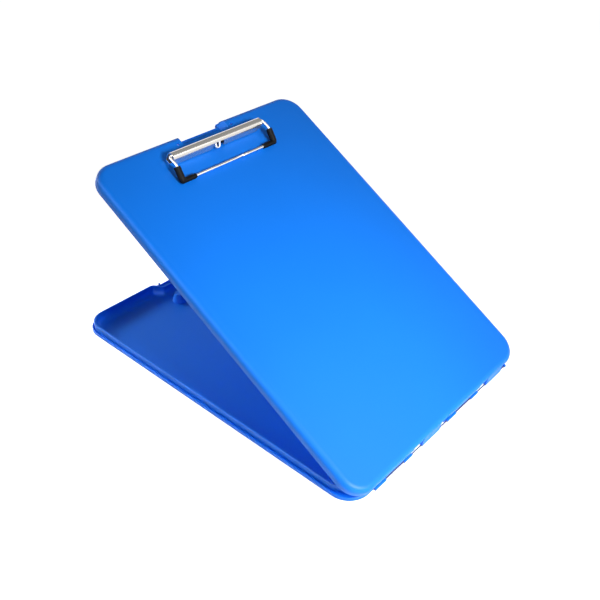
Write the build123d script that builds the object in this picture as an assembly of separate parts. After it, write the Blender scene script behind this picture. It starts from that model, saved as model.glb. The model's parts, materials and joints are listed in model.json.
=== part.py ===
from build123d import *
import math
import os

# Storage clipboard: a shallow letter-size tray, a lid that is also the writing board, a pin hinge
# along the bottom short edge and a wire paper clip at the top.
#
# Millimetres. The origin is the centre of the tray's flat underside, +Z is up, the hinge is at -Y
# and the latch end at +Y. Everything is drawn with the lid shut, then the lid and what it carries
# are turned about the hinge pin by LID_OPEN_ANGLE.

# ---- whole body ----
BODY_WIDTH = 240.0
BODY_LENGTH = 336.0
CORNER_RADIUS = 20.0
LID_OPEN_ANGLE = 31.0

# ---- tray ----
TRAY_FLOOR = 2.0
TRAY_RIM_HEIGHT = 4.8
TRAY_FOOT_BEVEL = 1.6
RIM_LIP = 1.0
LEDGE_HEIGHT = 3.4
TRAY_WALL = 2.0
TRAY_WALL_HEIGHT = 11.2
TRAY_WALL_INSET = 2.4
HINGE_END_INSET = 7.0
TRAY_FILLET = 6.0
EDGE_BREAK = 0.4

# ---- lid ----
SEAM_GAP = 0.3
LID_HEIGHT = 9.5
LID_PLATE = 2.2
LID_WALL = 2.0
LID_EDGE_ROUNDING = 5.5
LID_INNER_BEVEL = 1.0

# ---- finger notch in the lid's latch end, and the niche in the tray wall below it ----
NOTCH_LENGTH = 10.5
NOTCH_HALF_WIDTH = 27.0
NOTCH_FLOOR_HALF_WIDTH = 22.0
NOTCH_DEPTH = 6.0
NOTCH_FLOOR_SETBACK = 3.5
NOTCH_EAR_ROUNDING = 3.0
NICHE_CLEARANCE = 0.6
NICHE_HALF_WIDTH = 30.0
NICHE_FLARE = 7.0
NICHE_OUTER_ROUNDING = 6.0
NICHE_INNER_ROUNDING = 2.0

# ---- latch: a prong on each side of the niche enters a hole in the lid ----
LATCH_X = 31.6
LATCH_FROM_END = 8.2
LATCH_HOLE_RADIUS = 1.25
LATCH_PRONG_WIDTH = 1.2
LATCH_PRONG_DEPTH = 1.2
LATCH_PRONG_RISE = 2.2
LATCH_PILLAR_MARGIN = 0.3

# ---- support bosses under the clip ----
BOSS_X = 27.0
BOSS_FROM_END = 34.0
BOSS_FOOT_RADIUS = 7.5
BOSS_TOP_RADIUS = 4.5
BOSS_HEIGHT = 11.0

# ---- pin hinge ----
PIN_OUTSIDE = 1.5
PIN_HEIGHT = 3.5
PIN_RADIUS = 0.65
PIN_OVERHANG = 0.6
PIN_HOLD_CLEARANCE = 0.02
PIN_RUNNING_CLEARANCE = 0.05
KNUCKLE_RADIUS = 1.3
KNUCKLE_WEB_REACH = 4.0
HINGE_SIDE_MARGIN = 25.5
HINGE_COUNT = 2
HINGE_PITCH_PER_BODY_WIDTH = 100.0 / 240.0
TRAY_KNUCKLE_SHARE = 0.485
PIN_SLOT_START_SHARE = 0.135
PIN_SLOT_SHARE = 0.24
WINDOW_SHARE = 0.135
LID_KNUCKLE_SHARE = 0.255
LAST_WINDOW_SHARE = 0.083
END_EAR_LENGTH = 2.2
WINDOW_DEPTH = 4.5
WINDOW_LID_RECESS = 0.8

# ---- clip hood: one bent steel sheet ----
HOOD_SHEET = 0.8
HOOD_HALF_LENGTH = 53.0
HOOD_FROM_END = 21.8
HOOD_RADIUS = 4.4
HOOD_SPRING_LINE = 6.9
HOOD_HEEL_ROUNDING = 1.4
HOOD_MOUTH_GAP = 1.3
HOOD_FLANGE_REACH = 5.6
HOOD_FOOT_HALF_LENGTH = 47.0
HOOD_END_TRIM_HEIGHT = 8.0
HOOD_ARCH_X = -0.6
HOOD_ARCH_WIDTH = 12.4
HOOD_ARCH_HEIGHT = 8.8
HOOD_ARCH_ROUNDING = 3.0
HOOD_FOOT_CUT_WIDTH = 19.0
HOOD_FOOT_CUT_HEIGHT = 2.4
HOOD_FOOT_CUT_SLOPE = 1.8
LUG_X = 44.0
LUG_WIDTH = 5.0
LUG_RUNNING_CLEARANCE = 0.05

# ---- wire bail ----
WIRE_RADIUS = 1.2
ROD_HEIGHT = 9.0
BAIL_HALF_WIDTH = 55.4
BAIL_REACH = 22.0
BAIL_SHOULDER_REACH = 8.8
BAIL_SHOULDER_HEIGHT = 9.9
BAIL_SHOULDER_BEND = 4.0
BAIL_ROD_BEND = 2.4
CRANK_LEG_SPACING = 4.6
CRANK_REACH = 4.6
CRANK_TIP_HEIGHT = 1.6
WIRE_JOINT_X = 14.0
WIRE_JOINT_GAP = 0.3

# ---- rubber grips on the bail's corners ----
GRIP_ARM_RADIUS = 3.0
GRIP_LEG_RADIUS = 2.3
GRIP_BORE_CLEARANCE = 0.03
GRIP_BOARD_GAP = 0.4
GRIP_ALONG_WIRE = 14.4
GRIP_BELOW_SHOULDER = 2.2

# ---- rivets that hold the hood to the board ----
RIVET_X = 27.0
RIVET_FROM_HEEL = 3.5
RIVET_SHANK_RADIUS = 1.2
RIVET_HOLE_CLEARANCE = 0.05
RIVET_HEAD_RADIUS = 2.0
RIVET_HEAD_HEIGHT = 0.9
RIVET_TAIL_RADIUS = 2.4
RIVET_TAIL_HEIGHT = 0.7

# ---- worked out from the sizes above ----
HALF_LENGTH = BODY_LENGTH / 2
LID_SEAM_Z = TRAY_RIM_HEIGHT + SEAM_GAP
LID_TOP_Z = LID_SEAM_Z + LID_HEIGHT
LID_UNDERSIDE_Z = LID_TOP_Z - LID_PLATE
PIN_Y = -HALF_LENGTH - PIN_OUTSIDE
HINGE_START_X = -BODY_WIDTH / 2 + HINGE_SIDE_MARGIN
HINGE_PITCH = HINGE_PITCH_PER_BODY_WIDTH * BODY_WIDTH
TRAY_KNUCKLE_LENGTH = TRAY_KNUCKLE_SHARE * HINGE_PITCH
PIN_SLOT_START = PIN_SLOT_START_SHARE * HINGE_PITCH
PIN_SLOT_LENGTH = PIN_SLOT_SHARE * HINGE_PITCH
WINDOW_LENGTH = WINDOW_SHARE * HINGE_PITCH
LID_KNUCKLE_LENGTH = LID_KNUCKLE_SHARE * HINGE_PITCH
LAST_WINDOW_LENGTH = LAST_WINDOW_SHARE * HINGE_PITCH
HINGE_AXIS = Axis((0, PIN_Y, PIN_HEIGHT), (1, 0, 0))
NOTCH_BACK_Y = HALF_LENGTH - NOTCH_LENGTH
NOTCH_FLOOR_Z = LID_TOP_Z - NOTCH_DEPTH
NOTCH_FLOOR_END_Y = HALF_LENGTH - NOTCH_FLOOR_SETBACK
NICHE_Y = NOTCH_BACK_Y - LID_WALL - NICHE_CLEARANCE
LATCH_Y = HALF_LENGTH - LATCH_FROM_END
ROD_Y = HALF_LENGTH - HOOD_FROM_END
HOOD_FRONT_Y = ROD_Y - HOOD_RADIUS
HOOD_HEEL_Y = ROD_Y + HOOD_RADIUS
ROD_Z = LID_TOP_Z + ROD_HEIGHT
CLAMP_Y = ROD_Y - BAIL_REACH
CLAMP_Z = LID_TOP_Z + GRIP_LEG_RADIUS + GRIP_BOARD_GAP
RIVET_Y = HOOD_HEEL_Y - RIVET_FROM_HEEL
OVERCUT = 5.0


# ---- small helpers ----
def closed_face(points):
    """A flat face inside straight edges through the points."""
    return make_face(Polyline(*points, close=True))


def slab(x0, x1, y0, y1, z0, z1):
    """A block between two opposite corners."""
    return Pos(x0, y0, z0) * Box(x1 - x0, y1 - y0, z1 - z0, align=(Align.MIN, Align.MIN, Align.MIN))


def rounded_block(inset, corner_inset, z0, z1):
    """The body's outline drawn in by inset, between two heights."""
    outline = RectangleRounded(
        BODY_WIDTH - 2 * inset, BODY_LENGTH - 2 * inset, CORNER_RADIUS - corner_inset
    )
    return extrude(Pos(0, 0, z0) * outline, z1 - z0)


def along_x(profile, x0, x1):
    """A profile of (y, z) carried along X from x0 to x1."""
    return extrude(Plane.YZ.offset(x0) * profile, x1 - x0)


def along_y(profile, y0, y1):
    """A profile of (x, z) carried along Y from y0 to y1."""
    return extrude(Plane.XZ.offset(-y1) * profile, y1 - y0)


def opened(piece):
    """A piece of the lid, turned with it about the hinge pin."""
    return piece.rotate(HINGE_AXIS, LID_OPEN_ANGLE)


def mirrored(piece):
    """The piece and its mirror image on the other side of X = 0."""
    return piece + mirror(piece, Plane.YZ)


# ---- hinge layout along X ----
def hinge_stations():
    """Where each repeat of the hinge starts: tray knuckle, window, lid knuckle, window."""
    return [HINGE_START_X + k * HINGE_PITCH for k in range(HINGE_COUNT)]


def tray_knuckle_spans():
    return [(x, x + TRAY_KNUCKLE_LENGTH) for x in hinge_stations()]


def pin_slot_spans():
    return [(x + PIN_SLOT_START, x + PIN_SLOT_START + PIN_SLOT_LENGTH) for x in hinge_stations()]


def lid_knuckle_spans():
    gap = TRAY_KNUCKLE_LENGTH + WINDOW_LENGTH
    return [(x + gap, x + gap + LID_KNUCKLE_LENGTH) for x in hinge_stations()]


def bay_spans():
    """The openings between tray knuckles: window, lid knuckle and window."""
    starts = [end for _, end in tray_knuckle_spans()]
    ends = hinge_stations()[1:] + [lid_knuckle_spans()[-1][1] + LAST_WINDOW_LENGTH]
    return list(zip(starts, ends))


def end_ear_span():
    start = bay_spans()[-1][1]
    return start, start + END_EAR_LENGTH


# ---- tray ----
def tray_wall_outline():
    """Plan of the tray wall's outer face, drawn in at the hinge end and round the finger niche."""
    near = -HALF_LENGTH + HINGE_END_INSET
    far = HALF_LENGTH - TRAY_WALL_INSET
    side = BODY_WIDTH / 2 - TRAY_WALL_INSET
    corner = CORNER_RADIUS - TRAY_WALL_INSET
    box = Pos(0, (near + far) / 2) * RectangleRounded(2 * side, far - near, corner)
    mouth = NICHE_HALF_WIDTH + NICHE_FLARE
    slope = NICHE_FLARE / (far - NICHE_Y)
    flare = mouth + slope * OVERCUT
    niche = closed_face(
        [
            (-NICHE_HALF_WIDTH, NICHE_Y),
            (NICHE_HALF_WIDTH, NICHE_Y),
            (flare, far + OVERCUT),
            (-flare, far + OVERCUT),
        ]
    )
    outline = box - niche
    inner_corners = outline.vertices().filter_by(lambda v: abs(v.Y - NICHE_Y) < 0.01)
    outline = fillet(inner_corners, NICHE_INNER_ROUNDING)
    outer_corners = outline.vertices().filter_by(
        lambda v: abs(v.Y - far) < 0.01 and abs(abs(v.X) - mouth) < 0.01
    )
    return fillet(outer_corners, NICHE_OUTER_ROUNDING)


def tray_wall():
    """The upright wall that the lid closes over, and the hollow inside it."""
    outline = tray_wall_outline()
    inside = offset(outline, -TRAY_WALL, kind=Kind.ARC)
    block = extrude(outline, TRAY_WALL_HEIGHT)
    hollow = extrude(Pos(0, 0, TRAY_FLOOR) * inside, TRAY_WALL_HEIGHT)
    hollow = fillet(hollow.edges().group_by(Axis.Z)[0], TRAY_FILLET)
    wall = block - hollow
    return chamfer(wall.edges().group_by(Axis.Z)[-1], EDGE_BREAK), hollow


def tray_base():
    """The flat base with its rim lip and the lower ledge inside the lip."""
    base = rounded_block(0, 0, 0, TRAY_RIM_HEIGHT)
    base = chamfer(base.edges().group_by(Axis.Z)[0], TRAY_FOOT_BEVEL)
    base = chamfer(base.edges().group_by(Axis.Z)[-1], EDGE_BREAK)
    return base - rounded_block(RIM_LIP, RIM_LIP, LEDGE_HEIGHT, TRAY_RIM_HEIGHT + OVERCUT)


def tray_knuckle(x0, x1):
    """A stretch of barrel round the pin with the web that carries it."""
    web_end = PIN_OUTSIDE + KNUCKLE_WEB_REACH
    web = slab(
        x0, x1, PIN_Y, PIN_Y + web_end, PIN_HEIGHT - KNUCKLE_RADIUS, PIN_HEIGHT + KNUCKLE_RADIUS
    )
    barrel = along_x(Pos(PIN_Y, PIN_HEIGHT) * Circle(KNUCKLE_RADIUS), x0, x1)
    return web + barrel


def pin_bore(clearance):
    reach = BODY_WIDTH / 2
    return along_x(Pos(PIN_Y, PIN_HEIGHT) * Circle(PIN_RADIUS + clearance), -reach, reach)


def support_boss():
    height = BOSS_HEIGHT - TRAY_FLOOR
    cone = Cone(BOSS_FOOT_RADIUS, BOSS_TOP_RADIUS, height, align=(Align.CENTER, Align.CENTER, Align.MIN))
    return Pos(BOSS_X, HALF_LENGTH - BOSS_FROM_END, TRAY_FLOOR) * cone


def latch_prong():
    """A pillar on the niche's slanted wall with a small prong on top."""
    half_width = LATCH_PRONG_WIDTH / 2
    half_depth = LATCH_PRONG_DEPTH / 2
    slope = NICHE_FLARE / (HALF_LENGTH - TRAY_WALL_INSET - NICHE_Y)
    wall_x = NICHE_HALF_WIDTH + slope * (LATCH_Y - NICHE_Y) + TRAY_WALL / 2
    pillar = slab(
        LATCH_X - half_width - LATCH_PILLAR_MARGIN,
        wall_x + half_width,
        LATCH_Y - half_depth - LATCH_PILLAR_MARGIN,
        LATCH_Y + half_depth + LATCH_PILLAR_MARGIN,
        TRAY_FLOOR,
        TRAY_WALL_HEIGHT,
    )
    prong = slab(
        LATCH_X - half_width,
        LATCH_X + half_width,
        LATCH_Y - half_depth,
        LATCH_Y + half_depth,
        TRAY_WALL_HEIGHT,
        TRAY_WALL_HEIGHT + LATCH_PRONG_RISE,
    )
    return pillar + prong


def storage_tray():
    wall, hollow = tray_wall()
    tray = tray_base() + wall
    tray = tray - hollow
    tray = tray + mirrored(support_boss())
    tray = tray + mirrored(latch_prong())
    window_end = -HALF_LENGTH + WINDOW_DEPTH
    for x0, x1 in bay_spans():
        tray = tray - slab(x0, x1, PIN_Y - OVERCUT, window_end, -OVERCUT, TRAY_RIM_HEIGHT + OVERCUT)
    for x0, x1 in tray_knuckle_spans() + [end_ear_span()]:
        tray = tray + tray_knuckle(x0, x1)
    for x0, x1 in pin_slot_spans():
        tray = tray - slab(
            x0, x1, PIN_Y - OVERCUT, -HALF_LENGTH, -OVERCUT, TRAY_RIM_HEIGHT + OVERCUT
        )
    return tray - pin_bore(PIN_HOLD_CLEARANCE)


def hinge_pin():
    x0 = HINGE_START_X - PIN_OVERHANG
    x1 = end_ear_span()[1] + PIN_OVERHANG
    return along_x(Pos(PIN_Y, PIN_HEIGHT) * Circle(PIN_RADIUS), x0, x1)


# ---- lid ----
def notch_outline(half_width, back_y, ear):
    """Plan of the finger notch: square at the back, its mouth flared round the two ears."""
    mouth_y = HALF_LENGTH
    right = [
        Line((half_width, back_y), (half_width, mouth_y - ear)),
        ThreePointArc(
            (half_width, mouth_y - ear),
            (half_width + ear * (1 - math.cos(math.pi / 4)), mouth_y - ear * (1 - math.sin(math.pi / 4))),
            (half_width + ear, mouth_y),
        ),
        Line((half_width + ear, mouth_y), (half_width + ear, mouth_y + OVERCUT)),
    ]
    left = [mirror(edge, Plane.YZ) for edge in right]
    ends = [
        Line((-half_width, back_y), (half_width, back_y)),
        Line((-half_width - ear, mouth_y + OVERCUT), (half_width + ear, mouth_y + OVERCUT)),
    ]
    return make_face(right + left + ends)


def notch_cutter(grow, ear):
    """The space of the finger notch, its sides sloping out from its floor, grown by a wall."""
    slope = (NOTCH_HALF_WIDTH - NOTCH_FLOOR_HALF_WIDTH) / NOTCH_DEPTH
    floor_z = NOTCH_FLOOR_Z - grow
    top_z = LID_TOP_Z + OVERCUT
    low = NOTCH_FLOOR_HALF_WIDTH + grow
    high = low + slope * (top_z - NOTCH_FLOOR_Z)
    back_y = NOTCH_BACK_Y - grow
    faces = [
        Pos(0, 0, floor_z) * notch_outline(low, back_y, ear),
        Pos(0, 0, top_z) * notch_outline(high, back_y, ear),
    ]
    front = slab(
        -low, low, NOTCH_FLOOR_END_Y - grow, HALF_LENGTH + OVERCUT, LID_SEAM_Z - OVERCUT, top_z
    )
    return loft(faces, ruled=True) + front


def lid_knuckle(x0, x1):
    """A barrel on the pin with the ramp that runs up into the lid's end wall."""
    face_y = PIN_OUTSIDE
    back_y = PIN_OUTSIDE + LID_WALL
    shoulder_z = LID_TOP_Z - LID_EDGE_ROUNDING - PIN_HEIGHT
    seam_z = LID_SEAM_Z - PIN_HEIGHT
    outer = math.atan2(shoulder_z, face_y) + math.acos(KNUCKLE_RADIUS / math.hypot(face_y, shoulder_z))
    inner = math.atan2(seam_z, back_y) - math.acos(KNUCKLE_RADIUS / math.hypot(back_y, seam_z))
    ramp = closed_face(
        [
            (0, 0),
            (KNUCKLE_RADIUS * math.cos(inner), KNUCKLE_RADIUS * math.sin(inner)),
            (back_y, seam_z),
            (back_y, shoulder_z),
            (face_y, shoulder_z),
            (KNUCKLE_RADIUS * math.cos(outer), KNUCKLE_RADIUS * math.sin(outer)),
        ]
    )
    return along_x(Pos(PIN_Y, PIN_HEIGHT) * (ramp + Circle(KNUCKLE_RADIUS)), x0, x1)


def rivet_hole():
    """Both rivet holes, through the lid's plate and the hood's flange but not its crown."""
    reach = 2 * (LID_PLATE + HOOD_SHEET)
    hole = Cylinder(RIVET_SHANK_RADIUS + RIVET_HOLE_CLEARANCE, reach)
    return mirrored(Pos(RIVET_X, RIVET_Y, LID_TOP_Z) * hole)


def lid_board():
    shell = rounded_block(0, 0, LID_SEAM_Z, LID_TOP_Z)
    shell = fillet(shell.edges().group_by(Axis.Z)[-1], LID_EDGE_ROUNDING)
    shell = chamfer(shell.edges().group_by(Axis.Z)[0], EDGE_BREAK)
    hollow = rounded_block(LID_WALL, LID_WALL, LID_SEAM_Z - OVERCUT, LID_UNDERSIDE_Z)
    hollow = chamfer(hollow.edges().group_by(Axis.Z)[-1], LID_INNER_BEVEL)
    hollow = hollow - notch_cutter(LID_WALL, NOTCH_EAR_ROUNDING)
    lid = shell - hollow
    lid = lid - notch_cutter(0, NOTCH_EAR_ROUNDING)
    for (_, tray_end), (lid_start, lid_end), (_, bay_end) in zip(
        tray_knuckle_spans(), lid_knuckle_spans(), bay_spans()
    ):
        for x0, x1 in ((tray_end, lid_start), (lid_end, bay_end)):
            lid = lid - slab(
                x0, x1, PIN_Y, -HALF_LENGTH + WINDOW_LID_RECESS, LID_SEAM_Z - OVERCUT, LID_TOP_Z + OVERCUT
            )
        lid = lid + lid_knuckle(lid_start, lid_end)
    lid = lid - pin_bore(PIN_RUNNING_CLEARANCE)
    latch_hole = Cylinder(LATCH_HOLE_RADIUS, 4 * LID_PLATE)
    lid = lid - mirrored(Pos(LATCH_X, LATCH_Y, LID_TOP_Z) * latch_hole)
    return opened(lid - rivet_hole())


# ---- clip ----
def hood_section():
    """Outside of the bent sheet: upright front, round top, upright heel, flat on the board."""
    spring_z = LID_TOP_Z + HOOD_SPRING_LINE
    front = Line((HOOD_FRONT_Y, LID_TOP_Z), (HOOD_FRONT_Y, spring_z))
    crown = ThreePointArc(
        (HOOD_FRONT_Y, spring_z), (ROD_Y, spring_z + HOOD_RADIUS), (HOOD_HEEL_Y, spring_z)
    )
    heel = Line((HOOD_HEEL_Y, spring_z), (HOOD_HEEL_Y, LID_TOP_Z))
    floor = Line((HOOD_HEEL_Y, LID_TOP_Z), (HOOD_FRONT_Y, LID_TOP_Z))
    section = make_face([front, crown, heel, floor])
    heel_corner = section.vertices().group_by(Axis.Y)[0].sort_by(Axis.X)[-1]
    return fillet(heel_corner, HOOD_HEEL_ROUNDING)


def hood_front_cuts():
    """What is cut from the hood's front: the crank's arch, the cut foot and the trimmed ends."""
    base_z = LID_TOP_Z
    arch = Pos(HOOD_ARCH_X, base_z + (HOOD_ARCH_HEIGHT - OVERCUT) / 2) * Rectangle(
        HOOD_ARCH_WIDTH, HOOD_ARCH_HEIGHT + OVERCUT
    )
    arch = fillet(arch.vertices().group_by(Axis.Y)[-1], HOOD_ARCH_ROUNDING)
    half = HOOD_FOOT_CUT_WIDTH / 2
    foot_z = base_z + HOOD_FOOT_CUT_HEIGHT
    foot = closed_face(
        [
            (HOOD_ARCH_X - half, base_z),
            (HOOD_ARCH_X + half, base_z),
            (HOOD_ARCH_X + half - HOOD_FOOT_CUT_SLOPE, foot_z),
            (HOOD_ARCH_X - half + HOOD_FOOT_CUT_SLOPE, foot_z),
        ]
    )
    trim = closed_face(
        [
            (HOOD_FOOT_HALF_LENGTH, base_z),
            (HOOD_HALF_LENGTH + OVERCUT, base_z),
            (HOOD_HALF_LENGTH + OVERCUT, base_z + HOOD_END_TRIM_HEIGHT),
            (HOOD_HALF_LENGTH, base_z + HOOD_END_TRIM_HEIGHT),
            (HOOD_FOOT_HALF_LENGTH, base_z + HOOD_MOUTH_GAP),
        ]
    )
    cuts = arch + foot + trim + mirror(trim, Plane.YZ)
    return along_y(cuts, HOOD_FRONT_Y - OVERCUT, ROD_Y - HOOD_RADIUS / 2)


def clip_hood():
    outside = hood_section()
    inside = offset(outside, -HOOD_SHEET, kind=Kind.ARC)
    hood = along_x(outside - inside, -HOOD_HALF_LENGTH, HOOD_HALF_LENGTH)
    hood = hood - hood_front_cuts()
    flange_y = HOOD_HEEL_Y - HOOD_FLANGE_REACH
    hood = hood - slab(
        -HOOD_HALF_LENGTH,
        HOOD_HALF_LENGTH,
        HOOD_FRONT_Y - OVERCUT,
        flange_y,
        LID_TOP_Z - OVERCUT,
        LID_TOP_Z + HOOD_MOUTH_GAP,
    )
    tab = Pos(ROD_Y, (LID_TOP_Z + ROD_Z) / 2) * Rectangle(LUG_WIDTH, ROD_HEIGHT)
    tab = (tab + Pos(ROD_Y, ROD_Z) * Circle(LUG_WIDTH / 2)) & inside
    rod_hole = Pos(ROD_Y, ROD_Z) * Circle(WIRE_RADIUS + LUG_RUNNING_CLEARANCE)
    lug = along_x(tab - rod_hole, LUG_X, LUG_X + HOOD_SHEET)
    hood = hood + mirrored(lug)
    return opened(hood - rivet_hole())


def clip_rivet(side):
    plate = LID_PLATE + HOOD_SHEET
    shank = Cylinder(RIVET_SHANK_RADIUS, plate, align=(Align.CENTER, Align.CENTER, Align.MAX))
    head = Cylinder(RIVET_HEAD_RADIUS, RIVET_HEAD_HEIGHT, align=(Align.CENTER, Align.CENTER, Align.MIN))
    tail = Cylinder(RIVET_TAIL_RADIUS, RIVET_TAIL_HEIGHT, align=(Align.CENTER, Align.CENTER, Align.MAX))
    rivet = shank + head + Pos(0, 0, -plate) * tail
    return opened(Pos(side * RIVET_X, RIVET_Y, LID_TOP_Z + HOOD_SHEET) * rivet)


# ---- wire bail ----
def shoulder_point(side):
    return Vector(side * BAIL_HALF_WIDTH, ROD_Y - BAIL_SHOULDER_REACH, LID_TOP_Z + BAIL_SHOULDER_HEIGHT)


def corner_point(side):
    return Vector(side * BAIL_HALF_WIDTH, CLAMP_Y, CLAMP_Z)


def bail_path():
    """The wire's centre line: from its joint round one arm, the rod and crank, and the other arm.
    The crank's tight bends and the corners inside the rubber grips are left as mitres."""
    crank_y = ROD_Y - CRANK_REACH
    crank_z = LID_TOP_Z + CRANK_TIP_HEIGHT
    right = HOOD_ARCH_X + CRANK_LEG_SPACING / 2
    left = HOOD_ARCH_X - CRANK_LEG_SPACING / 2
    points = [
        (WIRE_JOINT_X + WIRE_JOINT_GAP / 2, CLAMP_Y, CLAMP_Z),
        corner_point(1),
        shoulder_point(1),
        (BAIL_HALF_WIDTH, ROD_Y, ROD_Z),
        (right, ROD_Y, ROD_Z),
        (right, crank_y, crank_z),
        (left, crank_y, crank_z),
        (left, ROD_Y, ROD_Z),
        (-BAIL_HALF_WIDTH, ROD_Y, ROD_Z),
        shoulder_point(-1),
        corner_point(-1),
        (WIRE_JOINT_X - WIRE_JOINT_GAP / 2, CLAMP_Y, CLAMP_Z),
    ]
    arm = [0, BAIL_SHOULDER_BEND, BAIL_ROD_BEND]
    crank = [0] * 4
    return FilletPolyline(*points, radius=arm + crank + arm[::-1])


def tube(path, radius):
    start = Plane(origin=path @ 0, z_dir=path % 0)
    return sweep(start * Circle(radius), path=path, transition=Transition.RIGHT)


def wire_bail():
    return opened(tube(bail_path(), WIRE_RADIUS))


def rubber_grip(side):
    """A rubber boot over one corner of the bail: a thick sleeve on the arm, a thinner one on the
    clamping wire, and a flat sole just over the board."""
    shoulder = shoulder_point(side)
    corner = corner_point(side)
    down = (corner - shoulder).normalized()
    along = Vector(-side, 0, 0)
    start = shoulder + down * GRIP_BELOW_SHOULDER
    heel = corner + down * GRIP_LEG_RADIUS
    end = corner + along * GRIP_ALONG_WIRE
    arm = Plane(start, z_dir=down) * Cylinder(
        GRIP_ARM_RADIUS, (heel - start).length, align=(Align.CENTER, Align.CENTER, Align.MIN)
    )
    leg = Plane(corner, z_dir=along) * Cylinder(
        GRIP_LEG_RADIUS, GRIP_ALONG_WIRE, align=(Align.CENTER, Align.CENTER, Align.MIN)
    )
    reach = BODY_WIDTH / 2
    sole_z = LID_TOP_Z + GRIP_BOARD_GAP
    boot = arm + leg - slab(-reach, reach, CLAMP_Y - reach, ROD_Y, LID_TOP_Z - reach, sole_z)
    bore = tube(Polyline(shoulder, corner, end + along), WIRE_RADIUS + GRIP_BORE_CLEARANCE)
    return opened(boot - bore)


# ---- every piece, one file each ----
PIECES = {
    "storage_tray": storage_tray,
    "hinge_pin": hinge_pin,
    "lid_board": lid_board,
    "clip_hood": clip_hood,
    "clip_rivet_left": lambda: clip_rivet(-1),
    "clip_rivet_right": lambda: clip_rivet(1),
    "wire_bail": wire_bail,
    "rubber_grip_left": lambda: rubber_grip(-1),
    "rubber_grip_right": lambda: rubber_grip(1),
}

if __name__ == "__main__":
    os.makedirs("parts", exist_ok=True)
    for name, make in PIECES.items():
        export_step(make(), f"parts/{name}.step")
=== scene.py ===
"""Storage clipboard: finishes and sheet-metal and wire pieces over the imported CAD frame.

Laid out as an add-on, run as a script. Everything is in metres in the CAD's frame: the tray lies
on Z = 0, the hinge is at -Y and the lid stands open. Pieces of the lid are worked out with the lid
shut and then turned open about the hinge pin.
"""

import json
import math

import bpy
import numpy as np
from mathutils import Matrix, Vector


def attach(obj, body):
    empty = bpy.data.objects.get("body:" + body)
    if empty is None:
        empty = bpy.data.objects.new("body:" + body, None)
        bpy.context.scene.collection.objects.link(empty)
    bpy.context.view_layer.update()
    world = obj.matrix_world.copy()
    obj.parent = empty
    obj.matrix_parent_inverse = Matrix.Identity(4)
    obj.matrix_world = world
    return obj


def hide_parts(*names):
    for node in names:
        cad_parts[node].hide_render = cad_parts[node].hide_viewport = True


bl_info = {
    "name": "Storage Clipboard",
    "version": (1, 0, 0),
    "blender": (4, 5, 0),
    "location": "View3D > Sidebar > Clipboard",
    "description": "Finishes the storage clipboard's CAD pieces and makes its clip and studio",
    "category": "Object",
}

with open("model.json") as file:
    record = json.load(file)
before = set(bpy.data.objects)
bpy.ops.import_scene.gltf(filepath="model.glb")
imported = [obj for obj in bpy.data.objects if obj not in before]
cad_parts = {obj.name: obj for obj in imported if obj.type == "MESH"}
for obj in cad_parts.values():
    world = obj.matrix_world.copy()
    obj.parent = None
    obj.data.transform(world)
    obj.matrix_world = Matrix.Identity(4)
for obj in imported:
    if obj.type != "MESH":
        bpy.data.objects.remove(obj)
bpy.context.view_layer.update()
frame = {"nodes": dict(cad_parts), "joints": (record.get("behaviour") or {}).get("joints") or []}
MM = 0.001
SENSOR_WIDTH = 36.0

# Sockets of a Mix node set to colour, whose names its other kinds share.
MIX_A, MIX_B, MIX_RESULT = 6, 7, 2

# Each lamp's place, the point that it faces, its size and its beam's spread in degrees. Its watts
# are the stage's property of the same name.
FULL_BEAM = 180
LAMPS = {
    "key": ((0.36, -0.58, 0.66), (-0.06, -0.12, 0.03), 0.35, FULL_BEAM),
    "left": ((-0.8, 0.06, 0.5), (0.0, -0.04, 0.08), 0.35, FULL_BEAM),
    "front": ((-0.12, -0.85, 0.47), (-0.05, -0.1, 0.05), 0.25, 50),
    "mouth": ((-0.24, 0.9, 0.27), (-0.08, 0.13, 0.0), 0.2, 26),
}

# What gloss sees: the horizon's light falls to the ceiling's between two heights, and a window
# comes up between two places to the left and two heights. All are parts of a unit direction.
CEILING_HEIGHTS, CEILING_LIGHT = (0.34, 0.52), (1.35, 0.36)
WINDOW_PLACES, WINDOW_LIGHT = (-0.3, -0.6), (0.0, 7.0)
WINDOW_HEIGHTS, WINDOW_SHARE = (0.4, 0.6), (0.0, 1.0)

PAPER_COLOUR = "#EDEDED"
PAPER_GLOW = 0.96

LID_HINGE = next(j for j in frame["joints"] if j["name"] == "lid_hinge")
HINGE_POINT = np.array(LID_HINGE["pos_m"])
OPEN_ANGLE = math.radians(-LID_HINGE["range_deg"][0])


# ---- where the CAD pieces are ----
def turned(points, angle):
    """Points turned about the lid's hinge pin, which lies along X."""
    c, s = math.cos(angle), math.sin(angle)
    turn = np.array([[1, 0, 0], [0, c, s], [0, -s, c]])
    return (points - HINGE_POINT) @ turn + HINGE_POINT


def shut_box(node):
    """Lowest and highest corner of a CAD piece of the lid, with the lid shut."""
    mesh = frame["nodes"][node].data
    corners = np.empty(len(mesh.vertices) * 3, np.float32)
    mesh.vertices.foreach_get("co", corners)
    shut = turned(corners.reshape(-1, 3).astype(float), -OPEN_ANGLE)
    return shut.min(0), shut.max(0)


LID_HIGH = shut_box("lid_board")[1]
HOOD_LOW, HOOD_HIGH = shut_box("clip_hood")
BAIL_HIGH = shut_box("wire_bail")[1]
BOARD_TOP = LID_HIGH[2]
HOOD_RADIUS = (HOOD_HIGH[1] - HOOD_LOW[1]) / 2
ROD_Y = (HOOD_HIGH[1] + HOOD_LOW[1]) / 2


# ---- properties ----
def linear(hex_colour):
    """An sRGB hex colour as linear red, green and blue."""
    channels = [int(hex_colour[i : i + 2], 16) / 255 for i in (1, 3, 5)]
    return tuple(c / 12.92 if c <= 0.04045 else ((c + 0.055) / 1.055) ** 2.4 for c in channels)


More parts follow.
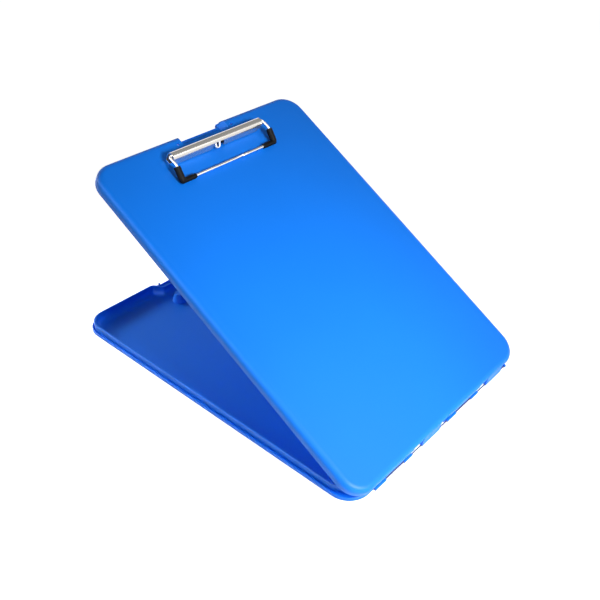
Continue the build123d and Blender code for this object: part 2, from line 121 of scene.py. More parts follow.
def length(label, millimetres, description):
    """A size, written in millimetres and kept in metres."""
    return bpy.props.FloatProperty(
        name=label, description=description, default=millimetres * MM, unit="LENGTH", precision=5
    )


def colour(label, hex_colour, description):
    """A colour, written as sRGB hex and kept linear."""
    return bpy.props.FloatVectorProperty(
        name=label,
        description=description,
        default=linear(hex_colour),
        subtype="COLOR",
        min=0.0,
        max=1.0,
    )


def angle(label, degrees, description):
    return bpy.props.FloatProperty(
        name=label, description=description, default=math.radians(degrees), subtype="ANGLE"
    )


def share(label, value, description):
    return bpy.props.FloatProperty(
        name=label, description=description, default=value, min=0.0, max=1.0, subtype="FACTOR"
    )


def number(label, value, description):
    return bpy.props.FloatProperty(name=label, description=description, default=value)


class ClipboardPlastic(bpy.types.PropertyGroup):
    """Moulded parts."""

    lid_colour: colour("Lid", "#077DF4", "Polypropylene of the lid")
    # The tray is the same plastic as the lid. Its colour is the lid's colour painted darker and
    # less blue: painted shade for the tray lying under the open lid.
    tray_shaded_colour: colour("Tray", "#0774EA", "Polypropylene of the tray")
    roughness: share("Roughness", 0.46, "How satin the moulded skin is")
    grain: length("Grain", 0.45, "Width of one grain of the mould's spark-eroded texture")


class ClipboardHood(bpy.types.PropertyGroup):
    """Sheet-steel hood of the clip."""

    nickel: colour("Nickel", "#D9D5CE", "Nickel plating")
    sheet: length("Sheet", 0.8, "Thickness of the steel sheet")
    heel_rounding: length("Heel bend", 1.4, "Outside radius where the heel turns onto the board")
    mouth_gap: length("Mouth", 1.3, "Height of the front edge over the board")
    flange: length("Flange", 5.6, "How far the flange reaches under the hood")
    foot: length("Foot", 47.0, "Half the length of the front edge before the ends are trimmed")
    trim_height: length("Trim", 8.0, "Height of the trimmed ends")
    arch_x: length("Arch centre", -0.6, "Place of the crank's arch along the hood")
    arch_width: length("Arch width", 12.4, "Width of the crank's arch")
    arch_height: length("Arch height", 8.8, "Height of the crank's arch")
    arch_rounding: length("Arch rounding", 3.0, "Radius of the arch's upper corners")
    foot_cut: length("Foot cut", 19.0, "Width of the low cut on both sides of the arch")
    foot_cut_height: length("Foot cut height", 2.4, "Height of that low cut")
    foot_cut_slope: length("Foot cut slope", 1.8, "How far that cut's ends slope")
    lug_x: length("Lug", 44.0, "Place of the inner lugs that carry the rod")
    lug_width: length("Lug width", 5.0, "Width of a lug")
    edge: length("Edge break", 0.12, "Rounding of the cut edges")


class ClipboardBail(bpy.types.PropertyGroup):
    """Wire bail and its rubber grips."""

    plating: colour("Plating", "#F2F0EC", "Bright nickel on the wire")
    rubber: colour("Rubber", "#060607", "Black rubber of the grips")
    wire: length("Wire radius", 1.2, "Radius of the wire")
    rod_height: length("Rod height", 9.0, "Height of the rod over the board")
    shoulder_reach: length("Shoulder reach", 8.8, "From the rod to the shoulder")
    shoulder_height: length("Shoulder height", 9.9, "Height of the shoulder over the board")
    reach: length("Reach", 22.0, "From the rod to the clamping wire")
    clamp_height: length("Clamp height", 2.7, "Height of the clamping wire over the board")
    corner_bend: length("Corner bend", 3.2, "Bend at the clamping corners")
    shoulder_bend: length("Shoulder bend", 4.0, "Bend at the shoulders")
    rod_bend: length("Rod bend", 2.4, "Bend from the arms into the rod")
    crank_spacing: length("Crank legs", 4.6, "Distance between the crank's legs")
    crank_reach: length("Crank reach", 4.6, "How far the crank reaches forward")
    crank_tip: length("Crank tip", 1.6, "Height of the crank's tip over the board")
    crank_bend: length("Crank bend", 1.8, "Bends of the crank")
    joint_x: length("Wire joint", 14.0, "Where the wire's two ends meet")
    joint_gap: length("Joint gap", 0.3, "Gap between the wire's ends")
    grip_arm: length("Grip on the arm", 3.0, "Outside radius of a grip on the arm")
    grip_leg: length("Grip on the clamp", 2.3, "Outside radius of a grip on the clamping wire")
    grip_heel: length("Grip heel", 1.2, "How far a grip's corner stands out past a round bend")
    grip_sole: length("Grip sole", 0.4, "Gap between a grip's flat sole and the board")
    grip_along: length("Grip length", 14.4, "Length of a grip along the clamping wire")
    grip_below: length("Grip start", 2.2, "Start of a grip below the shoulder")
    grip_rounding: length("Grip rounding", 0.6, "Rounding of a grip's ends")


class ClipboardStage(bpy.types.PropertyGroup):
    """Camera, lamps and floor."""

    camera_azimuth: angle("Azimuth", -49.5711, "Camera round the object, 0 looks along +Y")
    camera_elevation: angle("Elevation", 35.8204, "Camera above the horizon")
    camera_roll: angle("Roll", 1.0365, "Camera turned about its own line of sight")
    camera_distance: length("Distance", 731.898, "Camera to the plane of the point looked at")
    camera_aside: length("Aside", 19.702, "Camera moved along its own right")
    camera_up: length("Up", 33.4612, "Camera moved along its own up")
    lens: number("Lens", 45.696, "Focal length in millimetres on a 36 mm sensor")
    shift_x: number("Shift X", -0.02408, "Framing of the photograph")
    shift_y: number("Shift Y", 0.01437, "Framing of the photograph")
    fill: share("Fill", 0.07, "Even light from all round")
    key: number("Key", 0.8, "Watts of the soft lamp that puts a sheen on the hinge side")
    left: number("Left", 0.7, "Watts of the soft lamp on the left")
    front: number("Front", 0.98, "Watts of the beam onto the hinge side of the board")
    mouth: number("Mouth", 0.21, "Watts of the low beam from beyond the clip into the open tray")


GROUPS = {
    "clipboard_plastic": ClipboardPlastic,
    "clipboard_hood": ClipboardHood,
    "clipboard_bail": ClipboardBail,
    "clipboard_stage": ClipboardStage,
}


# ---- mesh helpers ----
def surface_faces(rows, columns, close_rows, close_columns):
    """Quads of a grid of points, wrapped round where a direction is closed."""
    row = np.arange(rows if close_rows else rows - 1)
    column = np.arange(columns if close_columns else columns - 1)
    r, c = np.meshgrid(row, column, indexing="ij")
    r2, c2 = (r + 1) % rows, (c + 1) % columns
    quads = np.stack([r * columns + c, r * columns + c2, r2 * columns + c2, r2 * columns + c], -1)
    return quads.reshape(-1, 4)


def mesh_object(name, points, faces, body, smooth=True):
    """A new piece from points and quads, placed in its mesh and riding on a CAD body."""
    mesh = bpy.data.meshes.new(name)
    mesh.from_pydata(points.reshape(-1, 3).tolist(), [], faces.tolist())
    mesh.update()
    mesh.polygons.foreach_set("use_smooth", np.full(len(mesh.polygons), smooth))
    piece = bpy.data.objects.new(name, mesh)
    bpy.context.scene.collection.objects.link(piece)
    if body:
        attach(piece, body)
    return piece


def paint(piece, material):
    """The material on every slot of a piece, or of a CAD piece's object."""
    if not piece.material_slots:
        piece.data.materials.append(None)
    for place in piece.material_slots:
        place.link = "OBJECT"
        place.material = material


# ---- material helpers ----
def add(tree, kind, links=None, inputs=None, **settings):
    """A node with its settings, input values and links from other nodes' outputs."""
    made = tree.nodes.new(kind)
    for key, value in settings.items():
        setattr(made, key, value)
    for key, value in (inputs or {}).items():
        made.inputs[key].default_value = value
    for key, output in (links or {}).items():
        tree.links.new(output, made.inputs[key])
    return made


def new_material(name):
    """An empty node material with its output, and Object coordinates to read."""
    material = bpy.data.materials.new(name)
    material.use_nodes = True
    tree = material.node_tree
    tree.nodes.clear()
    output = add(tree, "ShaderNodeOutputMaterial")
    coordinates = add(tree, "ShaderNodeTexCoord")
    return material, tree, output, coordinates


def opaque(rgb):
    return (*rgb, 1.0)


def satin_polypropylene(name, rgb, roughness, grain):
    """Injection-moulded polypropylene from a spark-eroded mould: a deep even colour under a soft
    wide sheen, with a fine pebbled skin and faint flow clouds."""
    material, tree, output, coordinates = new_material(name)
    place = coordinates.outputs["Object"]
    flow_width = 0.09
    tint_swing = roughness_swing = 0.04
    relief = 0.15
    flow = add(
        tree,
        "ShaderNodeTexNoise",
        {"Vector": place},
        {"Scale": 1 / flow_width, "Detail": 2.0},
    )
    darker = [c * (1 - tint_swing) for c in rgb]
    lighter = [min(1.0, c * (1 + tint_swing)) for c in rgb]
    tint = add(
        tree,
        "ShaderNodeMix",
        {"Factor": flow.outputs["Fac"]},
        {MIX_A: opaque(darker), MIX_B: opaque(lighter)},
        data_type="RGBA",
    )
    pebbles = add(
        tree,
        "ShaderNodeTexNoise",
        {"Vector": place},
        {"Scale": 1 / grain, "Detail": 3.0},
    )
    rough = add(
        tree,
        "ShaderNodeMapRange",
        {"Value": flow.outputs["Fac"]},
        {"To Min": roughness - roughness_swing, "To Max": roughness + roughness_swing},
    )
    skin = add(
        tree,
        "ShaderNodeBump",
        {"Height": pebbles.outputs["Fac"]},
        {"Strength": 0.25, "Distance": grain * relief},
    )
    shader = add(
        tree,
        "ShaderNodeBsdfPrincipled",
        {
            "Base Color": tint.outputs[MIX_RESULT],
            "Roughness": rough.outputs["Result"],
            "Normal": skin.outputs["Normal"],
        },
        {"IOR": 1.49, "Specular IOR Level": 0.34},
    )
    tree.links.new(shader.outputs["BSDF"], output.inputs["Surface"])
    return material


def plated_steel(name, rgb, roughness, line_spacing, along, haze=0.0):
    """Rolled or drawn steel, plated or bare: mirror-like, softened by fine lines along the work
    and, where it is given, by the haze of a handled surface."""
    material, tree, output, coordinates = new_material(name)
    squeeze = 0.02
    least, most = 0.8, 1.3
    relief = 0.2
    stretch = add(
        tree,
        "ShaderNodeMapping",
        {"Vector": coordinates.outputs["Object"]},
        {"Scale": [squeeze if axis == along else 1.0 for axis in "XYZ"]},
    )
    lines = add(
        tree,
        "ShaderNodeTexNoise",
        {"Vector": stretch.outputs["Vector"]},
        {"Scale": 1 / line_spacing, "Detail": 2.0},
    )
    rough = add(
        tree,
        "ShaderNodeMapRange",
        {"Value": lines.outputs["Fac"]},
        {"To Min": roughness * least, "To Max": roughness * most},
    )
    scratches = add(
        tree,
        "ShaderNodeBump",
        {"Height": lines.outputs["Fac"]},
        {"Strength": 0.12, "Distance": line_spacing * relief},
    )
    shader = add(
        tree,
        "ShaderNodeBsdfPrincipled",
        {"Roughness": rough.outputs["Result"], "Normal": scratches.outputs["Normal"]},
        {"Base Color": opaque(rgb), "Metallic": 1.0 - haze},
    )
    tree.links.new(shader.outputs["BSDF"], output.inputs["Surface"])
    return material


def black_rubber(name, rgb):
    """Dip-moulded black rubber: dark, with a broad soft gloss and a slightly uneven skin."""
    material, tree, output, coordinates = new_material(name)
    skin_width, skin_depth = 0.7 * MM, 0.08 * MM
    skin = add(
        tree,
        "ShaderNodeTexNoise",
        {"Vector": coordinates.outputs["Object"]},
        {"Scale": 1 / skin_width, "Detail": 3.0},
    )
    rough = add(
        tree,
        "ShaderNodeMapRange",
        {"Value": skin.outputs["Fac"]},
        {"To Min": 0.42, "To Max": 0.54},
    )
    bump = add(
        tree,
        "ShaderNodeBump",
        {"Height": skin.outputs["Fac"]},
        {"Strength": 0.3, "Distance": skin_depth},
    )
    shader = add(
        tree,
        "ShaderNodeBsdfPrincipled",
        {"Roughness": rough.outputs["Result"], "Normal": bump.outputs["Normal"]},
        {"Base Color": opaque(rgb), "IOR": 1.52, "Specular IOR Level": 0.12},
    )
    tree.links.new(shader.outputs["BSDF"], output.inputs["Surface"])
    return material


# ---- the hood ----
def hood_section(run, spring, sizes):
    """Outside of the bent sheet for each length run along it from the board up the front: upright
    to the spring line, half a turn of the crown, down the heel, a quarter bend, then flat."""
    bend = sizes.heel_rounding
    crown = spring + math.pi * HOOD_RADIUS
    heel = crown + spring - bend
    flat = heel + bend * math.pi / 2
    turn = (run - spring) / HOOD_RADIUS
    curl = (run - heel) / bend
    heel_y = ROD_Y + HOOD_RADIUS
    parts = [run < spring, run < crown, run < heel, run < flat]
    y = np.select(
        parts,
        [
            np.full_like(run, ROD_Y - HOOD_RADIUS),
            ROD_Y - HOOD_RADIUS * np.cos(turn),
            np.full_like(run, heel_y),
            heel_y - bend + bend * np.cos(curl),
        ],
        heel_y - bend - (run - flat),
    )
    z = np.select(
        parts,
        [
            run,
            spring + HOOD_RADIUS * np.sin(turn),
            spring - (run - crown),
            bend - bend * np.sin(curl),
        ],
        0.0,
    )
    return y, BOARD_TOP + z


def hood_front_edge(half_length, sizes):
    """Corner points (x, height) of the front's lower edge from its left end to its right end: up
    the trimmed end, along the mouth, over the low cut and round the arch, and the same back."""
    half_arch, corner = sizes.arch_width / 2, sizes.arch_rounding
    half_cut = sizes.foot_cut / 2
    slope = sizes.foot_cut_slope / sizes.foot_cut_height
    arc_points = 8
    turn = np.linspace(0, np.pi / 2, arc_points)
    arc_x = half_arch - corner + corner * np.cos(turn)
    arc_z = sizes.arch_height - corner + corner * np.sin(turn)
    aside = np.concatenate(
        [[half_cut - slope * sizes.mouth_gap, half_cut - sizes.foot_cut_slope, half_arch], arc_x]
    )
    height = np.concatenate(
        [[sizes.mouth_gap, sizes.foot_cut_height, sizes.foot_cut_height], arc_z]
    )
    x = np.concatenate(
        [
            [-half_length, -sizes.foot],
            sizes.arch_x - aside,
            sizes.arch_x + aside[::-1],
            [sizes.foot, half_length],
        ]
    )
    ends = [sizes.trim_height, sizes.mouth_gap]
    z = np.concatenate([ends, height, height[::-1], ends[::-1]])
    return x, z


def divided(x, z, step):
    """Points along a line through corner points, at most a step apart."""
    pieces = np.hypot(np.diff(x), np.diff(z))
    run = np.concatenate([[0], np.cumsum(pieces)])
    marks = np.unique(
        np.concatenate(
            [np.linspace(a, b, int(np.ceil((b - a) / step)) + 1) for a, b in zip(run, run[1:])]
        ).round(9)
    )
    return np.interp(marks, run, x), np.interp(marks, run, z), marks / run[-1]


def make_hood(sizes):
    """The hood's outside on a grid: columns start at points of the front's lower edge and rows run
    up the front, over the crown, down the heel and along the flange. It is thickened inwards."""
    half = HOOD_HIGH[0]
    spring = HOOD_HIGH[2] - BOARD_TOP - HOOD_RADIUS
    edge_step = 1.5 * MM
    shared_angle = math.radians(40)
    front_rows, crown_rows, bend_rows, flat_rows = 14, 26, 8, 4
    edge_x, edge_z, share_along = divided(*hood_front_edge(half, sizes), edge_step)
    over = np.arcsin(np.clip((edge_z - spring) / HOOD_RADIUS, 0, 1))
    edge_run = np.where(edge_z < spring, edge_z, spring + HOOD_RADIUS * over)
    column_x = half * (2 * share_along - 1)
    shared_run = spring + HOOD_RADIUS * shared_angle
    crown_end = spring + HOOD_RADIUS * math.pi
    heel_end = crown_end + spring - sizes.heel_rounding
    bend_end = heel_end + sizes.heel_rounding * math.pi / 2
    flange_end = bend_end + sizes.flange - sizes.heel_rounding
    rise = np.linspace(0, 1, front_rows)[:, None]
    front_run = edge_run + rise * (shared_run - edge_run)
    front_x = edge_x + rise * (column_x - edge_x)
    rest = np.concatenate(
        [
            np.linspace(shared_run, crown_end, crown_rows)[1:],
            np.linspace(crown_end, heel_end, flat_rows)[1:],
            np.linspace(heel_end, bend_end, bend_rows)[1:],
            np.linspace(bend_end, flange_end, flat_rows)[1:],
        ]
    )
    run = np.concatenate([front_run, np.repeat(rest[:, None], len(column_x), 1)])
    x = np.concatenate([front_x, np.repeat(column_x[None, :], len(rest), 0)])
    points = np.stack([x, *hood_section(run, spring, sizes)], -1)
    faces = surface_faces(*run.shape, False, False)
    hood = mesh_object("clip_hood_sheet", turned(points, OPEN_ANGLE), faces, "lid")
    wall = hood.modifiers.new("sheet", "SOLIDIFY")
    wall.thickness = sizes.sheet
    wall.offset = -1.0
    wall.use_even_offset = True
    edges = hood.modifiers.new("edge break", "BEVEL")
    edges.width = sizes.edge
    edges.segments = 2
    edges.limit_method = "ANGLE"
    edges.angle_limit = math.radians(50)
    edges.harden_normals = True
    return hood


def make_lug(side, sizes, bail):
    """An inner lug: a flat ring between the rod's hole and the lug's outline, which is a round end
    on an upright strip, kept inside the crown; both faces and both edges close one surface."""
    rod = BOARD_TOP + bail.rod_height
    clearance = 0.05 * MM
    hole = bail.wire + clearance
    half = sizes.lug_width / 2
    inner_crown = HOOD_RADIUS - sizes.sheet
    drop = HOOD_HIGH[2] - HOOD_RADIUS - rod
    sides, least = 96, 1e-6
    turn = np.linspace(0, 2 * np.pi, sides, endpoint=False)
    sine, cosine = np.sin(turn), np.cos(turn)
    to_crown = drop * sine + np.sqrt(inner_crown**2 - (drop * cosine) ** 2)
    to_side = half / np.maximum(np.abs(cosine), least)
    to_floor = bail.rod_height / np.maximum(-sine, least)
    outline = np.where(sine > 0, np.minimum(half, to_crown), np.minimum(to_side, to_floor))
    x0 = side * sizes.lug_x
    x1 = x0 + side * sizes.sheet
    rings = [(x0, hole), (x0, outline), (x1, outline), (x1, hole)]
    points = np.stack(
        [
            np.stack([np.full_like(turn, x), ROD_Y + radius * cosine, rod + radius * sine], -1)
            for x, radius in rings
        ]
    )
    faces = surface_faces(len(rings), len(turn), True, True)
    if side > 0:
        faces = faces[:, ::-1]
    name = "clip_hood_lug_" + ("right" if side > 0 else "left")
    return mesh_object(name, turned(points, OPEN_ANGLE), faces, "lid", smooth=False)


# ---- the wire ----
def rounded_path(corners, radii, arc_steps, run_steps):
    """Points and directions along straight runs joined by arcs. Each arc is c + a cos t + b sin t,
    with a from its centre to its start and b along the run before it."""
    corners = np.array(corners, float)
    points, directions = [], []
    last = corners[0]
    for before, corner, after, radius in zip(corners, corners[1:], corners[2:], radii):
        into = (corner - before) / np.linalg.norm(corner - before)
        out = (after - corner) / np.linalg.norm(after - corner)
        bend = math.acos(float(np.clip(into @ out, -1, 1)))
        start = corner - into * radius * math.tan(bend / 2)
        inward = out - into * (into @ out)
        inward /= np.linalg.norm(inward)
        centre = start + inward * radius
        along = np.linspace(0, 1, run_steps, endpoint=False)[:, None]
        points.append(last + along * (start - last))
        directions.append(np.repeat(into[None, :], run_steps, 0))
        t = np.linspace(0, bend, arc_steps, endpoint=False)[:, None]
        points.append(centre - inward * radius * np.cos(t) + into * radius * np.sin(t))
        directions.append(inward * np.sin(t) + into * np.cos(t))
        last = centre - inward * radius * math.cos(bend) + into * radius * math.sin(bend)
    end = corners[-1]
    out = (end - last) / np.linalg.norm(end - last)
    along = np.linspace(0, 1, run_steps)[:, None]
    points.append(last + along * (end - last))
    directions.append(np.repeat(out[None, :], run_steps, 0))
    return np.concatenate(points), np.concatenate(directions)


def across(directions):
    """Two unit directions square to each path direction, from one aside that no run is near."""
    aside = np.array([0.0, 0.66, -0.75])
    first = np.cross(directions, aside)
    first /= np.linalg.norm(first, axis=1, keepdims=True)
    return first, np.cross(first, directions)


def swept(points, directions, radii, sides):
    """Rings of the given radii round a path, one ring per path point."""
    first, second = across(directions)
    turn = np.linspace(0, 2 * np.pi, sides, endpoint=False)
    cosine, sine = np.cos(turn)[None, :, None], np.sin(turn)[None, :, None]
    ring = first[:, None, :] * cosine + second[:, None, :] * sine
    return points[:, None, :] + ring * radii[:, None, None]


def bail_corners(sizes):
    """The wire's corner points and bends, from its joint round one arm, the rod and the other."""
    half = BAIL_HIGH[0] - sizes.wire
    clamp_y = ROD_Y - sizes.reach
    clamp_z = BOARD_TOP + sizes.clamp_height
    rod = (ROD_Y, BOARD_TOP + sizes.rod_height)
    tip = (ROD_Y - sizes.crank_reach, BOARD_TOP + sizes.crank_tip)
    shoulder = (ROD_Y - sizes.shoulder_reach, BOARD_TOP + sizes.shoulder_height)
    centre = bpy.context.scene.clipboard_hood.arch_x
    right, left = centre + sizes.crank_spacing / 2, centre - sizes.crank_spacing / 2
    corners = [
        (sizes.joint_x + sizes.joint_gap / 2, clamp_y, clamp_z),
        (half, clamp_y, clamp_z),
        (half, *shoulder),
        (half, *rod),
        (right, *rod),
        (right, *tip),
        (left, *tip),
        (left, *rod),
        (-half, *rod),
        (-half, *shoulder),
        (-half, clamp_y, clamp_z),
        (sizes.joint_x - sizes.joint_gap / 2, clamp_y, clamp_z),
    ]
    arm = [sizes.corner_bend, sizes.shoulder_bend, sizes.rod_bend]
    return corners, arm + [sizes.crank_bend] * 4 + arm[::-1]


def make_wire(sizes):
    """A round tube along the bent path, each end drawn in over a small rounding to a closed tip."""
    points, directions = rounded_path(*bail_corners(sizes), arc_steps=14, run_steps=6)
    break_edge = 0.2 * MM
    closed = 1e-7
    radii = np.full(len(points), sizes.wire)
    starts = [(0.0, closed), (0.0, sizes.wire - break_edge), (break_edge, sizes.wire)]
    head = points[0] + np.array([s for s, _ in starts])[:, None] * directions[0]
    tail = points[-1] - np.array([s for s, _ in starts[::-1]])[:, None] * directions[-1]
    cap = np.array([r for _, r in starts])
    points = np.concatenate([head, points[1:-1], tail])
    directions = np.concatenate(
        [np.repeat(directions[:1], 3, 0), directions[1:-1], np.repeat(directions[-1:], 3, 0)]
    )
    radii = np.concatenate([cap, radii[1:-1], cap[::-1]])
    rings = turned(swept(points, directions, radii, sides=32), OPEN_ANGLE)
    faces = surface_faces(*rings.shape[:2], False, True)
    return mesh_object("bail_wire", rings, faces, "bail")


def make_grip(side, sizes):
    """A boot on the wire's corner: thick on the arm and thinner on the clamping wire. Round the
    bend its outer side is pushed out by heel sin^2, which squares the corner, and everything below
    the sole is raised to it. The ends are rounded and the bore runs back inside, so that the rings
    close into one surface."""
    corners, bends = bail_corners(sizes)
    corner, shoulder = np.array(corners[1]), np.array(corners[2])
    down = (corner - shoulder) / np.linalg.norm(corner - shoulder)
    start = shoulder + down * sizes.grip_below
    end = corner - np.array([sizes.grip_along, 0, 0])
    path, headings = rounded_path([start, corner, end], bends[:1], arc_steps=24, run_steps=40)
    roll_rings, outer_rings, bore_rings = 6, 90, 30
    bore_clearance = 0.01 * MM
    gaps = np.linalg.norm(np.diff(path, axis=0), axis=1)
    run = np.concatenate([[0], np.cumsum(gaps)])
    total = run[-1]
    bend_start = np.linalg.norm(corner - start) - sizes.corner_bend
    bend_end = bend_start + sizes.corner_bend * math.pi / 2
    rounding = sizes.grip_rounding
    roll = rounding * (1 - np.cos(np.linspace(0, np.pi / 2, roll_rings)))
    middle = np.linspace(rounding, total - rounding, outer_rings)[1:-1]
    outer_run = np.concatenate([roll, middle, total - roll[::-1]])
    through = np.clip((outer_run - bend_start) / (bend_end - bend_start), 0, 1)
    thickness = sizes.grip_arm + (sizes.grip_leg - sizes.grip_arm) * through**2 * (3 - 2 * through)
    past = np.clip(rounding - np.minimum(outer_run, total - outer_run), 0, rounding)
    outer = thickness - rounding + np.sqrt(rounding**2 - past**2)
    bore_run = np.linspace(total, 0, bore_rings)
    bore = np.full_like(bore_run, sizes.wire + bore_clearance)
    all_run = np.concatenate([outer_run, bore_run])
    centres = np.stack([np.interp(all_run, run, path[:, i]) for i in range(3)], -1)
    ways = np.stack([np.interp(all_run, run, headings[:, i]) for i in range(3)], -1)
    ways /= np.linalg.norm(ways, axis=1, keepdims=True)
    rings = swept(centres, ways, np.concatenate([outer, bore]), sides=48)
    count = len(outer_run)
    outward = down + np.array([1.0, 0, 0])
    outward /= np.linalg.norm(outward)
    offsets = rings[:count] - centres[:count, None, :]
    facing = np.clip(offsets @ outward / outer[:, None], 0, 1)
    push = sizes.grip_heel * (np.sin(np.pi * through) ** 2)[:, None] * facing
    rings[:count] += push[..., None] * outward
    sole = BOARD_TOP + sizes.grip_sole
    rings[:count, :, 2] = np.maximum(rings[:count, :, 2], sole)
    rings[..., 0] *= side
    faces = surface_faces(*rings.shape[:2], True, True)
    if side < 0:
        faces = faces[:, ::-1]
    name = "grip_sleeve_" + ("right" if side > 0 else "left")
    return mesh_object(name, turned(rings, OPEN_ANGLE), faces, "bail")


# ---- the stage ----
def camera_axes(stage):
    """Right, up and back of the camera from its azimuth, elevation and roll."""
    a, e, r = stage.camera_azimuth, stage.camera_elevation, stage.camera_roll
    back = Vector((math.sin(a) * math.cos(e), -math.cos(a) * math.cos(e), math.sin(e)))
    level = (-back).cross(Vector((0, 0, 1))).normalized()
    upright = level.cross(-back)
    right = level * math.cos(r) + upright * math.sin(r)
    up = upright * math.cos(r) - level * math.sin(r)
    return right, up, back


def add_camera(stage):
    right, up, back = camera_axes(stage)
    data = bpy.data.cameras.new("camera")
    data.sensor_width = SENSOR_WIDTH
    data.lens = stage.lens
    data.shift_x, data.shift_y = stage.shift_x, stage.shift_y
    data.clip_start, data.clip_end = 0.01, 20.0
    camera = bpy.data.objects.new("camera", data)
    bpy.context.scene.collection.objects.link(camera)
    place = back * stage.camera_distance + right * stage.camera_aside + up * stage.camera_up
    turn = Matrix((right, up, back)).transposed()
    camera.matrix_world = Matrix.Translation(place) @ turn.to_4x4()
    bpy.context.scene.camera = camera


def add_lamp(name, place, target, size, watts, beam):
    """A square soft lamp at one point, facing another, with its beam's spread in degrees."""
    data = bpy.data.lights.new(name, "AREA")
    data.shape = "SQUARE"
    data.size = size
    data.energy = watts
    data.spread = math.radians(beam)
    lamp = bpy.data.objects.new(name, data)
    bpy.context.scene.collection.objects.link(lamp)
    lamp.location = place
    aim = Vector(target) - Vector(place)
    lamp.rotation_mode = "QUATERNION"
    lamp.rotation_quaternion = aim.to_track_quat("-Z", "Y")
    lamp.visible_camera = False


def smooth_ramp(tree, value, places, levels):
    """A value turned into a level that goes smoothly from the first to the second between two
    places, and stays level beyond them."""
    ramp = add(
        tree,
        "ShaderNodeMapRange",
        {"Value": value},
        {
            "From Min": places[0],
            "From Max": places[1],
            "To Min": levels[0],
            "To Max": levels[1],
        },
        interpolation_type="SMOOTHSTEP",
    )
    return ramp.outputs["Result"]


def light_world(fill):
    """Even studio light, seen as white by the camera. Gloss sees white below, grey above and a wide
    bright window on the left."""
    world = bpy.data.worlds.new("studio")
    bpy.context.scene.world = world
    world.use_nodes = True
    tree = world.node_tree
    tree.nodes.clear()
    path = add(tree, "ShaderNodeLightPath")
    coordinates = add(tree, "ShaderNodeTexCoord")
    split = add(tree, "ShaderNodeSeparateXYZ", {"Vector": coordinates.outputs["Generated"]})
    aside, height = split.outputs["X"], split.outputs["Z"]
    ceiling = smooth_ramp(tree, height, CEILING_HEIGHTS, CEILING_LIGHT)
    left = smooth_ramp(tree, aside, WINDOW_PLACES, WINDOW_LIGHT)
    high = smooth_ramp(tree, height, WINDOW_HEIGHTS, WINDOW_SHARE)
    around = add(
        tree,
        "ShaderNodeMath",
        {0: left, 1: high, 2: ceiling},
        operation="MULTIPLY_ADD",
    )
    seen = add(tree, "ShaderNodeBackground", None, {"Color": (1, 1, 1, 1), "Strength": 1.0})
    mirrored = add(
        tree, "ShaderNodeBackground", {"Strength": around.outputs[0]}, {"Color": (1, 1, 1, 1)}
    )
    even = add(tree, "ShaderNodeBackground", None, {"Color": (1, 1, 1, 1), "Strength": fill})
    gloss = add(
        tree,
        "ShaderNodeMath",
        {0: path.outputs["Is Glossy Ray"], 1: path.outputs["Is Transmission Ray"]},
        operation="MAXIMUM",
    )
    first = add(
        tree,
        "ShaderNodeMixShader",
        {0: gloss.outputs[0], 1: even.outputs[0], 2: mirrored.outputs[0]},
    )
    second = add(
        tree,
        "ShaderNodeMixShader",
        {0: path.outputs["Is Camera Ray"], 1: first.outputs[0], 2: seen.outputs[0]},
    )
    add(tree, "ShaderNodeOutputWorld", {"Surface": second.outputs[0]})


def floor_paper():
    """Matt white studio paper. A little light of its own towards the camera and into reflections
    lifts it to white, and leaves the object's soft shadow on it."""
    material, tree, output, _ = new_material("studio_paper")
    path = add(tree, "ShaderNodeLightPath")
    direct = add(
        tree,
        "ShaderNodeMath",
        {0: path.outputs["Is Camera Ray"], 1: path.outputs["Is Glossy Ray"]},
        operation="MAXIMUM",
    )
    seen = add(
        tree,
        "ShaderNodeMath",
        {0: direct.outputs[0], 1: path.outputs["Is Transmission Ray"]},
        operation="MAXIMUM",
    )
    lift = add(tree, "ShaderNodeMath", {0: seen.outputs[0]}, {1: PAPER_GLOW}, operation="MULTIPLY")
    paper = add(tree, "ShaderNodeBsdfDiffuse", None, {"Color": opaque(linear(PAPER_COLOUR))})
    glow = add(tree, "ShaderNodeEmission", {"Strength": lift.outputs[0]}, {"Color": (1, 1, 1, 1)})
    both = add(tree, "ShaderNodeAddShader", {0: paper.outputs[0], 1: glow.outputs[0]})
    tree.links.new(both.outputs[0], output.inputs["Surface"])
    return material


# ---- operators ----
class CLIPBOARD_OT_plastic(bpy.types.Operator):
    """Finish the moulded tray and lid."""

    bl_idname = "clipboard.plastic"
    bl_label = "Tray and lid"

    def execute(self, context):
        look = context.scene.clipboard_plastic
        for node, name, rgb in (
            # The tray gets the lid's plastic painted darker and less blue, as painted shade.
            ("storage_tray", "tray_polypropylene", look.tray_shaded_colour),
            ("lid_board", "lid_polypropylene", look.lid_colour),
        ):
            material = satin_polypropylene(name, rgb, look.roughness, look.grain)
            paint(frame["nodes"][node], material)
        return {"FINISHED"}


class CLIPBOARD_OT_hinge_pin(bpy.types.Operator):
    """Finish the steel hinge pin."""

    bl_idname = "clipboard.hinge_pin"
    bl_label = "Hinge pin"

    def execute(self, context):
        steel = plated_steel(
            "drawn_steel_pin",
            linear("#8E9094"),
            roughness=0.3,
            line_spacing=0.15 * MM,
            along="X",
        )
        paint(frame["nodes"]["hinge_pin"], steel)
        return {"FINISHED"}


class CLIPBOARD_OT_hood(bpy.types.Operator):
    """Make the clip's bent sheet with its lugs, and finish its rivets."""

    bl_idname = "clipboard.hood"
    bl_label = "Clip hood"

    def execute(self, context):
        sizes = context.scene.clipboard_hood
        nickel = plated_steel(
            "nickel_plated_sheet",
            sizes.nickel,
            roughness=0.16,
            line_spacing=0.25 * MM,
            along="X",
            haze=0.1,
        )
        hood = make_hood(sizes)
        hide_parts("clip_hood")
        pieces = [hood]
        for side in (-1, 1):
            pieces.append(make_lug(side, sizes, context.scene.clipboard_bail))
        for piece in pieces:
            paint(piece, nickel)
        for node in ("clip_rivet_left", "clip_rivet_right"):
            paint(frame["nodes"][node], nickel)
        return {"FINISHED"}


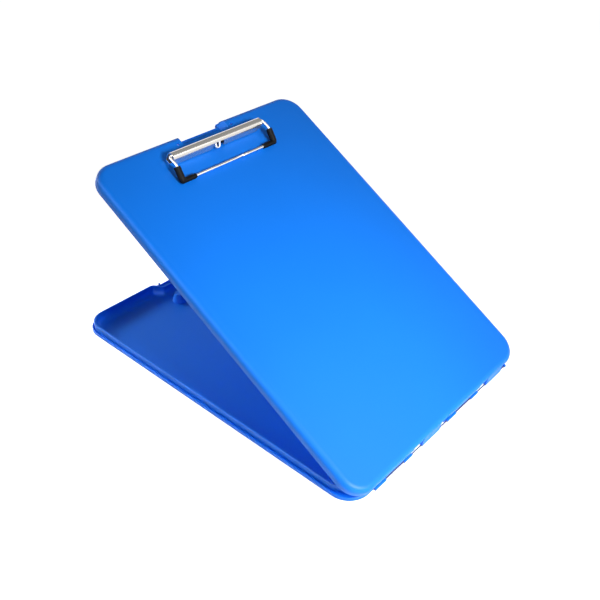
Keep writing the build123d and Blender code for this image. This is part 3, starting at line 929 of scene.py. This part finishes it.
class CLIPBOARD_OT_bail(bpy.types.Operator):
    """Make the wire bail and its two rubber grips."""

    bl_idname = "clipboard.bail"
    bl_label = "Wire bail"

    def execute(self, context):
        sizes = context.scene.clipboard_bail
        wire = make_wire(sizes)
        nickel = plated_steel(
            "nickel_plated_wire",
            sizes.plating,
            roughness=0.12,
            line_spacing=0.2 * MM,
            along="X",
        )
        paint(wire, nickel)
        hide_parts("wire_bail")
        rubber = black_rubber("black_rubber", sizes.rubber)
        for side, node in ((-1, "rubber_grip_left"), (1, "rubber_grip_right")):
            grip = make_grip(side, sizes)
            paint(grip, rubber)
            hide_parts(node)
        return {"FINISHED"}


class CLIPBOARD_OT_stage(bpy.types.Operator):
    """Set up the floor, the lamps, the world and the camera."""

    bl_idname = "clipboard.stage"
    bl_label = "Stage"

    def execute(self, context):
        stage = context.scene.clipboard_stage
        reach = 3.0
        below = -0.2 * MM
        side = np.linspace(-reach, reach, 2)
        x, y = np.meshgrid(side, side)
        points = np.stack([x, y, np.full_like(x, below)], -1)
        floor = mesh_object("floor", points, surface_faces(2, 2, False, False), None)
        paint(floor, floor_paper())
        light_world(stage.fill)
        for name, (place, target, size, beam) in LAMPS.items():
            add_lamp(name, place, target, size, getattr(stage, name), beam)
        add_camera(stage)
        context.scene.view_settings.view_transform = "Standard"
        return {"FINISHED"}


class CLIPBOARD_PT_panel(bpy.types.Panel):
    """The clipboard's pieces and sizes."""

    bl_idname = "CLIPBOARD_PT_panel"
    bl_label = "Storage clipboard"
    bl_space_type = "VIEW_3D"
    bl_region_type = "UI"
    bl_category = "Clipboard"

    def draw(self, context):
        for operator in OPERATORS:
            self.layout.operator(operator.bl_idname)
        for name, group in GROUPS.items():
            box = self.layout.box()
            for key in group.__annotations__:
                box.prop(getattr(context.scene, name), key)


OPERATORS = (
    CLIPBOARD_OT_plastic,
    CLIPBOARD_OT_hinge_pin,
    CLIPBOARD_OT_hood,
    CLIPBOARD_OT_bail,
    CLIPBOARD_OT_stage,
)
CLASSES = (*GROUPS.values(), *OPERATORS, CLIPBOARD_PT_panel)


def register():
    for cls in CLASSES:
        bpy.utils.register_class(cls)
    for name, group in GROUPS.items():
        setattr(bpy.types.Scene, name, bpy.props.PointerProperty(type=group))


def unregister():
    for name in GROUPS:
        delattr(bpy.types.Scene, name)
    for cls in reversed(CLASSES):
        bpy.utils.unregister_class(cls)


def main():
    register()
    for operator in OPERATORS:
        group, name = operator.bl_idname.split(".")
        getattr(getattr(bpy.ops, group), name)()


if __name__ == "__main__":
    main()
